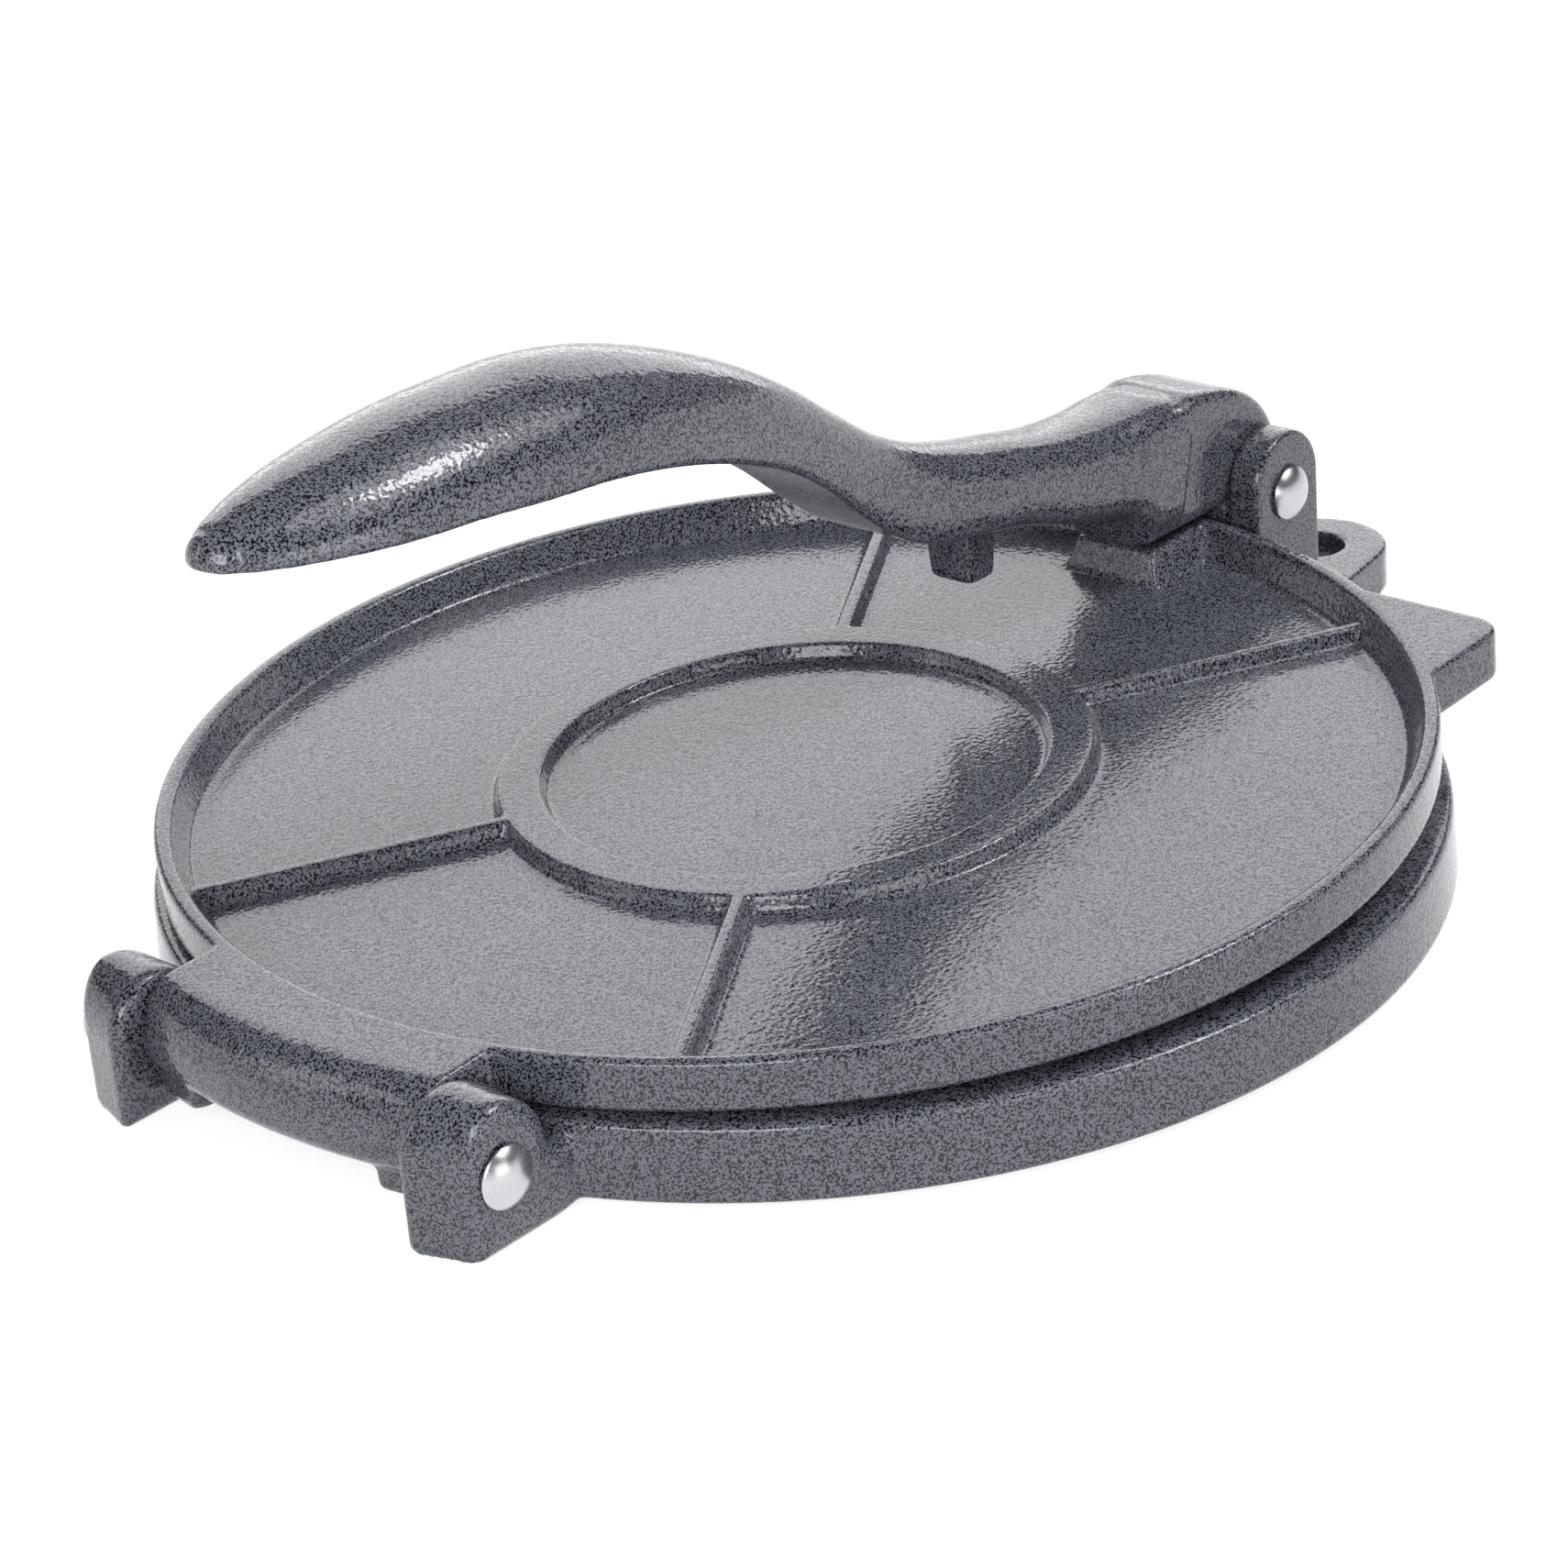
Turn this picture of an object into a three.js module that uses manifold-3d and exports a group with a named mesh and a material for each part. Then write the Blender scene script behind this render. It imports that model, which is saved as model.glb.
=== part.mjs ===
// Cast-iron tortilla press: a round base, a hinged round top plate and a curved pressing lever.
// Millimetres, +Z up. +X runs from the plate's hinge to the lever's fulcrum, +Y to the left ear.
// The design origin is the middle of the base at table level. The whole press is then moved so
// that the origin lies at the middle of the bounding box's bottom.
import * as THREE from "three";
import { mergeVertices } from "three/addons/utils/BufferGeometryUtils.js";
import Module from "manifold-3d";

const wasm = await Module();
wasm.setup();

const rad = THREE.MathUtils.degToRad;

// Both plates
const PLATE_R = 127; // 10 inch top plate
const PLATE_FACETS = 100;
const EDGE = 0.7; // broken edge of a casting
const BITE = 0.5; // how deep a rib or boss is sunk in what carries it
const OVERRUN = 5; // how far a cut runs past the face that it opens
const PLATE_GAP = 0.5; // air between the two plates when shut
const OPEN_DEG = 1.95; // how far the plate stands open at rest

// Top plate
const PLATE_THICK = 10.4; // height of the outer wall
const PLATE_WEB = 2.9; // thickness left under the recess
const RIM_WIDTH = 3.2; // flat top of the rim
const RIM_DRAFT = 3.2; // how far the rim's inner wall leans in by the floor
const RIM_FILLET = 0.8; // at the foot and the lip of the inner wall

// Stiffening ring and ribs, alike on the top plate and under the base
const RING_R = 55.1; // middle of the ring
const RING_WIDTH = 8.4; // at its top
const RING_FACETS = 72;
const RIB_WIDTH = 2.7; // at its top
const RIB_DEG = 31.3; // angle of each rib from the main axis
const STIFF_DRAFT = 1.5; // how far ring and rib walls spread down to their foot
const STIFF_TALL = 3.4; // above the recess's floor

// Base
const BASE_LIP = 2; // how far the base stands out past the top plate
const BASE_AIR = 2; // the disc stands this far above the table
const BASE_THICK = 14.6;
const BASE_DRAFT = 0.7; // spread of the outer wall
const BASE_CHAMFER = 1.1;
const BASE_WEB = 4.2; // thickness of the pressing web over the hollow underside
const BASE_RIM = 5.5; // width of the underside's rim
const BASE_RIM_DRAFT = 2;
const BASE_STIFF_TALL = 6.5; // ring and ribs under the web

// Pins and their domed caps
const PIN_R = 4;
const PIN_PLAY = 0.08; // radial running clearance in the moving casting
const PIN_SEAT = 0.15; // radial clearance in the ears, the fork and the caps
const PIN_OUT = 1.3; // pin end past the ear's face
const PIN_FACETS = 36;
const CAP_FLANGE = 2.4; // how far the cap stands out past the pin all round
const CAP_TALL = 2.5;
const CAP_LIP = 0.7; // straight edge under the dome
const CAP_EDGE = 0.2;
const CAP_FACETS = 28;
const CAP_RINGS = 5; // facets from the dome's foot to its top
const CAP_AIR = 0.3; // between the cap and the ear's face

// Hinge
const HINGE_REACH = 6.9; // hinge axis beyond the base's edge
const HINGE_DROP = 1.9; // hinge axis below the pressing face
const BARREL_WALL = 4.1; // round the pin
const BARREL_AIR = 1.1; // round the barrel in the base
const EAR_GAP = 73.2; // between the inner faces of the two ears
const EAR_WIDTH = 15.3;
const EAR_WALL = 7.5; // round the pin
const EAR_RISE = 2; // the ear's round top is centred this far above the pin
const EAR_TOE = 8; // length of the foot's sweep up to the disc
const EAR_SHOULDER = 5; // radius where the ear rises from its arm
const EAR_STEP = 2.6; // the arm lies this far below the pressing face
const EAR_ARM = 24; // how far the arm reaches in from the base's edge
const BRIDGE_AIR = 0.5; // between the bridge and each ear
const BRIDGE_NOSE = 6.5; // rounding at the bridge's front top edge
const BRIDGE_ROOT = 12; // how far the bridge reaches in from the plate's edge

// Lifting tab: a square with one round corner, its sides along X and Y
const TAB_DEG = -39.8; // direction of the corner from the main axis
const TAB_REACH = 16.7; // how far the corner stands out past the plate
const TAB_ROUND = 7;
const TAB_SIDE = 42;

// Boss on the top plate, which the lever presses on
const BOSS_LONG = 21.4; // from the plate's edge to the front of its top
const BOSS_WIDTH = 20;
const BOSS_DRAFT = 3;
const BOSS_ROOT = 2; // how far it stays inside the plate's edge

// Fulcrum
const FULCRUM_RISE = 12.1; // lever pin above the shut plate's rim
const HUB_WALL = 8.5; // round the pin
const HUB_GAP = 0.5; // between the hub and the shut plate's edge
const HUB_WIDTH = 24.4;
const HUB_AIR = 0.4; // on each side, in the fork
const TINE_WIDTH = 7.9;
const TINE_WALL = 7.3; // round the pin
const TINE_RISE = 2.4; // the tine's round top is centred this far above the pin

// Lug and hanging loop behind the fulcrum
const LUG_LIP = 1; // how far the lug stands out past the tines
const LUG_THICK = 10;
const LUG_ROOT = 14; // how far it reaches in from the base's edge
const LOOP_REACH = 42.5; // hole's middle behind the lever pin
const LOOP_HOLE_R = 7;
const LOOP_WALL = 9.5;

// Lever
const LEVER_REACH = 286; // from its pin to the handle's tip
const LEVER_RISE = 81.3; // the tip's underside above the block's sole
const LEVER_DEPTH = 33.6; // deepest at the block
const LEVER_WIDTH = 40; // widest at the handle
const LEVER_AIR = 0.46; // between the block's sole and the open plate's rim
const LEVER_CORNER = 1; // broken edge along the sole
const LEVER_LEAN_DEG = 14; // the block's faces lean with the raised lever
const LEVER_STEPS = 3; // rings from one station to the next
const ARCH_FACETS = 14; // facets of a section's crown
// Stations from the handle's tip to the block's rear: how far from the pin, underside, depth and
// width as shares of the four sizes above, then the squareness of the crown and the lean's share.
const STATION_SHARES = [
  [1.000, 1.000, 0.101, 0.130, 2.00, 0],
  [0.996, 0.988, 0.190, 0.270, 2.00, 0],
  [0.984, 0.980, 0.262, 0.420, 2.00, 0],
  [0.960, 0.977, 0.330, 0.580, 2.00, 0],
  [0.916, 0.966, 0.411, 0.750, 2.05, 0],
  [0.866, 0.951, 0.476, 0.880, 2.10, 0],
  [0.815, 0.940, 0.524, 0.955, 2.10, 0],
  [0.759, 0.927, 0.568, 1.000, 2.10, 0],
  [0.703, 0.905, 0.607, 0.995, 2.10, 0],
  [0.650, 0.868, 0.643, 0.945, 2.10, 0],
  [0.601, 0.815, 0.679, 0.865, 2.10, 0],
  [0.559, 0.759, 0.690, 0.775, 2.15, 0],
  [0.517, 0.689, 0.682, 0.690, 2.20, 0],
  [0.476, 0.594, 0.690, 0.630, 2.20, 0.1],
  [0.437, 0.476, 0.708, 0.600, 2.20, 0.2],
  [0.399, 0.378, 0.679, 0.595, 2.25, 0.4],
  [0.357, 0.316, 0.613, 0.595, 2.30, 0.6],
  [0.315, 0.283, 0.545, 0.595, 2.40, 0.8],
  [0.262, 0.235, 0.536, 0.605, 2.50, 1],
  [0.210, 0.177, 0.604, 0.625, 2.60, 1],
  [0.175, 0.102, 0.774, 0.645, 2.80, 1],
  [0.147, 0.006, 1.000, 0.660, 3.00, 1],
  [0.105, 0.000, 0.932, 0.670, 3.00, 1],
];

// Pressing foot under the neck
const FOOT_REACH = 85.8; // its middle in front of the lever pin
const FOOT_RISE = 9.7; // its sole above the block's sole
const FOOT_TALL = 19.4; // up to its root inside the neck
const FOOT_LONG = 8.6;
const FOOT_WIDTH = 11.6;
const FOOT_SPREAD = 1.35; // how far each side spreads up to the root
const FOOT_ROUND = 1; // broken edge round the sole
const FOOT_SQUARENESS = 5;
const FOOT_FACETS = 28;

// Hub between the tines
const HUB_STEP = 1; // its underside above the block's sole
const HUB_FRONT = 38; // where it starts inside the block, in front of the pin
const HUB_TALL = 28.4; // its front top above the pin
const HUB_EDGE = 1.2; // broken edge of its two sides
const HUB_SWEEP_DEG = 45; // where the round about the pin passes into the hump
// Hump from the round up to the front top: reach and height as shares of HUB_FRONT and HUB_TALL
const HUMP_PULL_SHARES = [-0.05, 0.796];
const HUMP_TOP_SHARES = [0.368, 0.923];
const HUMP_EASE_SHARES = [0.579, 0.986];

// Heights
const BASE_TOP = BASE_AIR + BASE_THICK;
const PLATE_UNDER = BASE_TOP + PLATE_GAP;
const PLATE_TOP = PLATE_UNDER + PLATE_THICK;
const HINGE_Z = BASE_TOP - HINGE_DROP;
const FULCRUM_Z = PLATE_TOP + FULCRUM_RISE;

// Places along the main axis
const BASE_R = PLATE_R + BASE_LIP;
const HINGE_X = -BASE_R - HINGE_REACH;
const HUB_R = PIN_R + HUB_WALL;
const FULCRUM_X = PLATE_R + HUB_GAP + HUB_R;
const LOOP_X = FULCRUM_X + LOOP_REACH;
const LOOP_R = LOOP_HOLE_R + LOOP_WALL;

// Radii and places across
const BARREL_R = PIN_R + BARREL_WALL;
const EAR_R = PIN_R + EAR_WALL;
const EAR_IN = EAR_GAP / 2;
const EAR_OUT = EAR_IN + EAR_WIDTH;
const TINE_R = PIN_R + TINE_WALL;
const TINE_IN = HUB_WIDTH / 2 + HUB_AIR;
const TINE_OUT = TINE_IN + TINE_WIDTH;

// The block's sole clears the rim of the open plate.
const rimReach = new THREE.Vector2(PLATE_R - HINGE_X, PLATE_TOP - HINGE_Z);
rimReach.rotateAround(new THREE.Vector2(), rad(OPEN_DEG));
const LEVER_SOLE = HINGE_Z + rimReach.y + LEVER_AIR;

// A manifold solid from a three.js geometry, whose faces at a pole or a seam have closed up.
function solid(geometry) {
  const g = geometry.clone();
  g.deleteAttribute("normal");
  g.deleteAttribute("uv");
  const m = mergeVertices(g, 1e-4);
  const faces = [];
  for (let i = 0; i < m.index.count; i += 3) {
    const [a, b, c] = [m.index.getX(i), m.index.getX(i + 1), m.index.getX(i + 2)];
    if (a !== b && b !== c && c !== a) faces.push(a, b, c);
  }
  return new wasm.Manifold(
    new wasm.Mesh({
      numProp: 3,
      vertProperties: new Float32Array(m.attributes.position.array),
      triVerts: new Uint32Array(faces),
    }),
  );
}

const join = (...bodies) => bodies.reduce((all, body) => all.add(body));

// A named three.js mesh from a manifold solid.
function mesh(name, body, material) {
  const m = body.getMesh();
  const g = new THREE.BufferGeometry();
  g.setAttribute("position", new THREE.BufferAttribute(new Float32Array(m.vertProperties), 3));
  g.setIndex(new THREE.BufferAttribute(new Uint32Array(m.triVerts), 1));
  const flat = g.toNonIndexed();
  flat.computeVertexNormals();
  const out = new THREE.Mesh(flat, material);
  out.name = name;
  return out;
}

// A solid of revolution about Z from a closed outline of [radius, height] points.
function turned(outline, facets) {
  const points = outline.map(([r, z]) => new THREE.Vector2(r, z));
  if (THREE.ShapeUtils.area(points) < 0) points.reverse();
  points.push(points[0].clone());
  return solid(new THREE.LatheGeometry(points, facets).rotateX(Math.PI / 2));
}

// A shape pushed from one height to another, with broken edges.
function pushed(shape, from, to, edge) {
  return new THREE.ExtrudeGeometry(shape, {
    depth: to - from - 2 * edge,
    bevelSize: edge,
    bevelThickness: edge,
    bevelOffset: -edge,
    bevelSegments: 2,
    curveSegments: 14,
  }).translate(0, 0, from + edge);
}

// A shape in the XY plane, between two heights.
const plan = (shape, from, to) => solid(pushed(shape, from, to, EDGE));

// A shape in the XZ plane, between two places along Y.
const slab = (shape, from, to, edge = EDGE) =>
  solid(pushed(shape, -to, -from, edge).rotateX(Math.PI / 2));

// A cylinder along Y about (x, z), between two places along Y.
const bar = (x, z, r, from, to) =>
  solid(new THREE.CylinderGeometry(r, r, to - from, PIN_FACETS).translate(x, (from + to) / 2, z));

// A block with a rectangle at its foot and one at its top: [x0, x1, half width, z] for each.
function taper(foot, top) {
  const g = new THREE.BoxGeometry();
  const p = g.attributes.position;
  for (let i = 0; i < p.count; i++) {
    const [x0, x1, half, z] = p.getZ(i) > 0 ? top : foot;
    p.setXYZ(i, p.getX(i) > 0 ? x1 : x0, Math.sign(p.getY(i)) * half, z);
  }
  return solid(g);
}

// The stiffening ring and its four ribs between their foot, in the web, and their top.
function stiffeners(foot, top, reach) {
  const half = RING_WIDTH / 2;
  const ring = turned(
    [
      [RING_R - half - STIFF_DRAFT, foot],
      [RING_R + half + STIFF_DRAFT, foot],
      [RING_R + half, top],
      [RING_R - half, top],
    ],
    RING_FACETS,
  );
  const ends = [
    [RING_R, reach, RIB_WIDTH / 2 + STIFF_DRAFT, foot],
    [RING_R, reach, RIB_WIDTH / 2, top],
  ];
  if (top < foot) ends.reverse();
  const ribs = [RIB_DEG, 180 - RIB_DEG, 180 + RIB_DEG, -RIB_DEG].map((deg) =>
    taper(...ends).rotate([0, 0, deg]),
  );
  return join(ring, ...ribs);
}

// The lifting tab's outline; its corner stands out past the plate.
function tabShape() {
  const reach = PLATE_R + TAB_REACH - TAB_ROUND;
  const [x, y] = [reach * Math.cos(rad(TAB_DEG)), reach * Math.sin(rad(TAB_DEG))];
  const [right, low] = [x + TAB_ROUND, y - TAB_ROUND];
  const tab = new THREE.Shape();
  tab.moveTo(right - TAB_SIDE, low + TAB_SIDE);
  tab.lineTo(right - TAB_SIDE, low);
  tab.absarc(x, y, TAB_ROUND, -Math.PI / 2, 0, false);
  tab.lineTo(right, low + TAB_SIDE);
  tab.closePath();
  return tab;
}

// The bridge from the plate to its hinge: flat on top, round at the nose and about the pin.
function bridgeShape() {
  const front = HINGE_X - BARREL_R;
  const turn = Math.asin((PLATE_UNDER - HINGE_Z) / BARREL_R);
  const bridge = new THREE.Shape();
  bridge.moveTo(BRIDGE_ROOT - PLATE_R, PLATE_UNDER);
  bridge.lineTo(BRIDGE_ROOT - PLATE_R, PLATE_TOP);
  bridge.absarc(front + BRIDGE_NOSE, PLATE_TOP - BRIDGE_NOSE, BRIDGE_NOSE, Math.PI / 2, Math.PI, false);
  bridge.absarc(HINGE_X, HINGE_Z, BARREL_R, Math.PI, 2 * Math.PI + turn, false);
  bridge.closePath();
  return bridge;
}

// The top plate, drawn shut.
function topPlate() {
  const floor = PLATE_UNDER + PLATE_WEB;
  const disc = turned(
    [
      [0, PLATE_UNDER],
      [PLATE_R - EDGE, PLATE_UNDER],
      [PLATE_R, PLATE_UNDER + EDGE],
      [PLATE_R, PLATE_TOP - EDGE],
      [PLATE_R - EDGE, PLATE_TOP],
      [0, PLATE_TOP],
    ],
    PLATE_FACETS,
  );
  const lip = PLATE_R - RIM_WIDTH;
  const foot = lip - RIM_DRAFT;
  const recess = turned(
    [
      [0, floor],
      [foot - RIM_FILLET, floor],
      [foot + RIM_FILLET / 2, floor + RIM_FILLET],
      [lip - RIM_FILLET / 2, PLATE_TOP - RIM_FILLET],
      [lip, PLATE_TOP],
      [lip, PLATE_TOP + OVERRUN],
      [0, PLATE_TOP + OVERRUN],
    ],
    PLATE_FACETS,
  );
  const boss = taper(
    [PLATE_R - BOSS_LONG - BOSS_DRAFT, PLATE_R - BOSS_ROOT, BOSS_WIDTH / 2 + BOSS_DRAFT, floor - BITE],
    [PLATE_R - BOSS_LONG, PLATE_R - BOSS_ROOT, BOSS_WIDTH / 2, PLATE_TOP],
  );
  const side = EAR_IN - BRIDGE_AIR;
  return join(disc, slab(bridgeShape(), -side, side), plan(tabShape(), PLATE_UNDER, PLATE_TOP))
    .subtract(recess)
    .add(stiffeners(floor - BITE, floor + STIFF_TALL, lip))
    .add(boss)
    .subtract(bar(HINGE_X, HINGE_Z, PIN_R + PIN_PLAY, -side - OVERRUN, side + OVERRUN));
}

// The base's disc, hollow underneath, with its ring and ribs.
function baseDisc() {
  const wall = BASE_R + BASE_DRAFT;
  const disc = turned(
    [
      [0, BASE_AIR],
      [wall - EDGE, BASE_AIR],
      [wall, BASE_AIR + EDGE],
      [BASE_R, BASE_TOP - BASE_CHAMFER],
      [BASE_R - BASE_CHAMFER, BASE_TOP],
      [0, BASE_TOP],
    ],
    PLATE_FACETS,
  );
  const ceiling = BASE_TOP - BASE_WEB;
  const inner = BASE_R - BASE_RIM;
  const hollow = turned(
    [
      [0, BASE_AIR - OVERRUN],
      [inner, BASE_AIR - OVERRUN],
      [inner, BASE_AIR],
      [inner - BASE_RIM_DRAFT, ceiling],
      [0, ceiling],
    ],
    PLATE_FACETS,
  );
  return disc.subtract(hollow).add(stiffeners(ceiling + BITE, ceiling - BASE_STIFF_TALL, inner));
}

// A hinge ear seen from the side: a round top, a foot on the table and an arm in under the disc.
function earShape() {
  const rear = HINGE_X + EAR_R;
  const arm = EAR_ARM - BASE_R;
  const ear = new THREE.Shape();
  ear.moveTo(HINGE_X - EAR_R, 0);
  ear.lineTo(rear - EAR_TOE / 4, 0);
  ear.quadraticCurveTo(rear + EAR_TOE / 2, 0, rear + EAR_TOE, BASE_AIR);
  ear.lineTo(arm, BASE_AIR);
  ear.lineTo(arm, BASE_TOP - EAR_STEP);
  ear.lineTo(rear + EAR_SHOULDER, BASE_TOP - EAR_STEP);
  ear.quadraticCurveTo(rear, BASE_TOP - EAR_STEP, rear, HINGE_Z + EAR_RISE);
  ear.absarc(HINGE_X, HINGE_Z + EAR_RISE, EAR_R, 0, Math.PI, false);
  ear.closePath();
  return ear;
}

// A tine of the fulcrum's fork seen from the side.
function tineShape() {
  const tine = new THREE.Shape();
  tine.moveTo(FULCRUM_X - TINE_R, LUG_THICK / 2);
  tine.lineTo(FULCRUM_X + TINE_R, LUG_THICK / 2);
  tine.absarc(FULCRUM_X, FULCRUM_Z + TINE_RISE, TINE_R, 0, Math.PI, false);
  tine.closePath();
  return tine;
}

// The lug under the fork, which narrows along a tangent to the hanging loop's round.
function lugShape() {
  const half = TINE_OUT + LUG_LIP;
  const rear = FULCRUM_X + TINE_R;
  const along = LOOP_X - rear;
  const tangent = Math.atan2(half, along) - Math.asin(LOOP_R / Math.hypot(half, along));
  const lug = new THREE.Shape();
  lug.moveTo(BASE_R - LUG_ROOT, -half);
  lug.lineTo(rear, -half);
  lug.absarc(LOOP_X, 0, LOOP_R, tangent - Math.PI / 2, Math.PI / 2 - tangent, false);
  lug.lineTo(rear, half);
  lug.lineTo(BASE_R - LUG_ROOT, half);
  lug.closePath();
  lug.holes.push(new THREE.Path().absarc(LOOP_X, 0, LOOP_HOLE_R, 0, 2 * Math.PI, true));
  return lug;
}

// The base casting with its hinge ears, fulcrum fork and hanging loop.
function base() {
  const wide = EAR_OUT + OVERRUN;
  return join(
    baseDisc(),
    slab(earShape(), EAR_IN, EAR_OUT),
    slab(earShape(), -EAR_OUT, -EAR_IN),
    slab(tineShape(), TINE_IN, TINE_OUT),
    slab(tineShape(), -TINE_OUT, -TINE_IN),
    plan(lugShape(), 0, LUG_THICK),
  )
    .subtract(bar(HINGE_X, HINGE_Z, BARREL_R + BARREL_AIR, -EAR_IN, EAR_IN))
    .subtract(bar(HINGE_X, HINGE_Z, PIN_R + PIN_SEAT, -wide, wide))
    .subtract(bar(FULCRUM_X, FULCRUM_Z, PIN_R + PIN_SEAT, -wide, wide));
}

// A closed skin over rings of as many points each, capped at both ends.
function loft(rings) {
  const n = rings[0].length;
  const positions = rings.flat(2);
  const index = [];
  for (let r = 0; r < rings.length - 1; r++)
    for (let i = 0; i < n; i++) {
      const j = (i + 1) % n;
      const [a, b, c, d] = [r * n + i, r * n + j, (r + 1) * n + j, (r + 1) * n + i];
      index.push(a, b, c, a, c, d);
    }
  for (const r of [0, rings.length - 1]) {
    const middle = positions.length / 3;
    positions.push(...[0, 1, 2].map((k) => rings[r].reduce((sum, p) => sum + p[k] / n, 0)));
    for (let i = 0; i < n; i++) {
      const ends = [r * n + i, r * n + ((i + 1) % n)];
      if (r === 0) ends.reverse();
      index.push(middle, ...ends);
    }
  }
  const g = new THREE.BufferGeometry();
  g.setAttribute("position", new THREE.BufferAttribute(new Float32Array(positions), 3));
  g.setIndex(index);
  return solid(g);
}

// A point of a rounded square: 2 gives an ellipse, more is squarer.
function rounded(angle, squareness) {
  const along = (v) => Math.sign(v) * Math.abs(v) ** (2 / squareness);
  return [along(Math.cos(angle)), along(Math.sin(angle))];
}

// One section of the lever: a flat sole with broken corners under a rounded crown.
function section(x, low, depth, half, squareness, lean) {
  const corner = Math.min(LEVER_CORNER, half / 3);
  const points = [];
  for (let i = 0; i <= ARCH_FACETS; i++) {
    const [across, up] = rounded((Math.PI * i) / ARCH_FACETS, squareness);
    points.push([across * half, low + corner + Math.max(up, 0) * (depth - corner)]);
  }
  points.push([corner - half, low], [half - corner, low]);
  const tilt = lean * Math.tan(rad(LEVER_LEAN_DEG));
  return points.map(([y, z]) => [x + (z - low - depth / 2) * tilt, y, z]);
}

// The lever's arm: sections on smooth curves through the stations.
function arm() {
  const curves = [1, 2, 3, 4, 5].map(
    (column) =>
      new THREE.CatmullRomCurve3(
        STATION_SHARES.map((s) => new THREE.Vector3(s[0] * LEVER_REACH, s[column] * LEVER_RISE, 0)),
        false,
        "centripetal",
      ),
  );
  const rings = [];
  const steps = (STATION_SHARES.length - 1) * LEVER_STEPS;
  for (let i = 0; i <= steps; i++) {
    const at = curves.map((curve) => curve.getPoint(i / steps));
    const [rise, deep, wide, squareness, lean] = at.map((v) => v.y / LEVER_RISE);
    rings.push(
      section(
        FULCRUM_X - at[0].x,
        LEVER_SOLE + rise * LEVER_RISE,
        deep * LEVER_DEPTH,
        (wide * LEVER_WIDTH) / 2,
        squareness,
        lean,
      ),
    );
  }
  return loft(rings);
}

// The pressing foot, a rounded block that spreads up into the neck.
function foot() {
  const sole = LEVER_SOLE + FOOT_RISE;
  const levels = [
    [sole, -FOOT_ROUND],
    [sole + FOOT_ROUND / 3, -FOOT_ROUND / 3],
    [sole + FOOT_ROUND, 0],
    [sole + FOOT_TALL, FOOT_SPREAD],
  ];
  const rings = levels.map(([z, spread]) =>
    Array.from({ length: FOOT_FACETS }, (_, i) => {
      const [along, across] = rounded((2 * Math.PI * i) / FOOT_FACETS, FOOT_SQUARENESS);
      return [
        FULCRUM_X - FOOT_REACH + along * (FOOT_LONG / 2 + spread),
        across * (FOOT_WIDTH / 2 + spread),
        z,
      ];
    }),
  );
  return loft(rings);
}

// The hub seen from the side: round about the pin, with a hump that runs up to the block.
function hubShape() {
  const sole = LEVER_SOLE + HUB_STEP;
  const front = FULCRUM_X - HUB_FRONT;
  const at = ([reach, rise]) => [FULCRUM_X - reach * HUB_FRONT, FULCRUM_Z + rise * HUB_TALL];
  const hub = new THREE.Shape();
  hub.moveTo(front, sole);
  const meets = Math.asin((FULCRUM_Z - sole) / HUB_R);
  hub.absarc(FULCRUM_X, FULCRUM_Z, HUB_R, Math.PI + meets, 2 * Math.PI + rad(HUB_SWEEP_DEG), false);
  hub.quadraticCurveTo(...at(HUMP_PULL_SHARES), ...at(HUMP_TOP_SHARES));
  hub.lineTo(...at(HUMP_EASE_SHARES));
  hub.lineTo(front, FULCRUM_Z + HUB_TALL);
  hub.closePath();
  return hub;
}

// The lever casting: handle, neck, block, pressing foot and hub.
function lever() {
  const half = HUB_WIDTH / 2;
  return join(arm(), foot(), slab(hubShape(), -half, half, HUB_EDGE))
    .subtract(bar(FULCRUM_X, FULCRUM_Z, PIN_R + PIN_PLAY, -half - OVERRUN, half + OVERRUN));
}

// A pin about the origin that stands out past two outer faces.
const pin = (out) => bar(0, 0, PIN_R, -out - PIN_OUT, out + PIN_OUT);

// A domed cap with a socket for the pin's end, its face at the origin and its dome up.
function cap() {
  const r = PIN_R + CAP_FLANGE;
  const dome = Array.from({ length: CAP_RINGS }, (_, i) => {
    const a = (Math.PI / 2) * (i / CAP_RINGS);
    return [r * Math.cos(a), CAP_LIP + (CAP_TALL - CAP_LIP) * Math.sin(a)];
  });
  const socket = PIN_R + PIN_SEAT;
  return turned(
    [
      [socket, 0],
      [r - CAP_EDGE, 0],
      [r, CAP_EDGE],
      ...dome,
      [0, CAP_TALL],
      [0, PIN_OUT],
      [socket, PIN_OUT],
    ],
    CAP_FACETS,
  );
}

// Grey powder coat on the castings, bright plate on the pins.
const casting = new THREE.MeshStandardMaterial({ color: 0x5d5e63, roughness: 0.3, metalness: 0.2 });
const plated = new THREE.MeshStandardMaterial({ color: 0xc9cacd, roughness: 0.15, metalness: 1 });

// A pin with its two caps, placed on its axis.
function axle(name, x, z, out) {
  const group = new THREE.Group();
  group.position.set(x, 0, z);
  group.add(mesh(`${name}_pin`, pin(out), plated));
  for (const [end, side] of [["left", 1], ["right", -1]]) {
    const piece = mesh(`${name}_cap_${end}`, cap(), plated);
    piece.position.y = side * (out + CAP_AIR);
    piece.rotation.x = (-side * Math.PI) / 2;
    group.add(piece);
  }
  return group;
}

// The top plate turns about its hinge, from where it is drawn shut to its rest pose.
const leaf = new THREE.Group();
leaf.position.set(HINGE_X, 0, HINGE_Z);
leaf.rotation.y = -rad(OPEN_DEG);
const plate = mesh("top_plate", topPlate(), casting);
plate.position.set(-HINGE_X, 0, -HINGE_Z);
leaf.add(plate);

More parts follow.
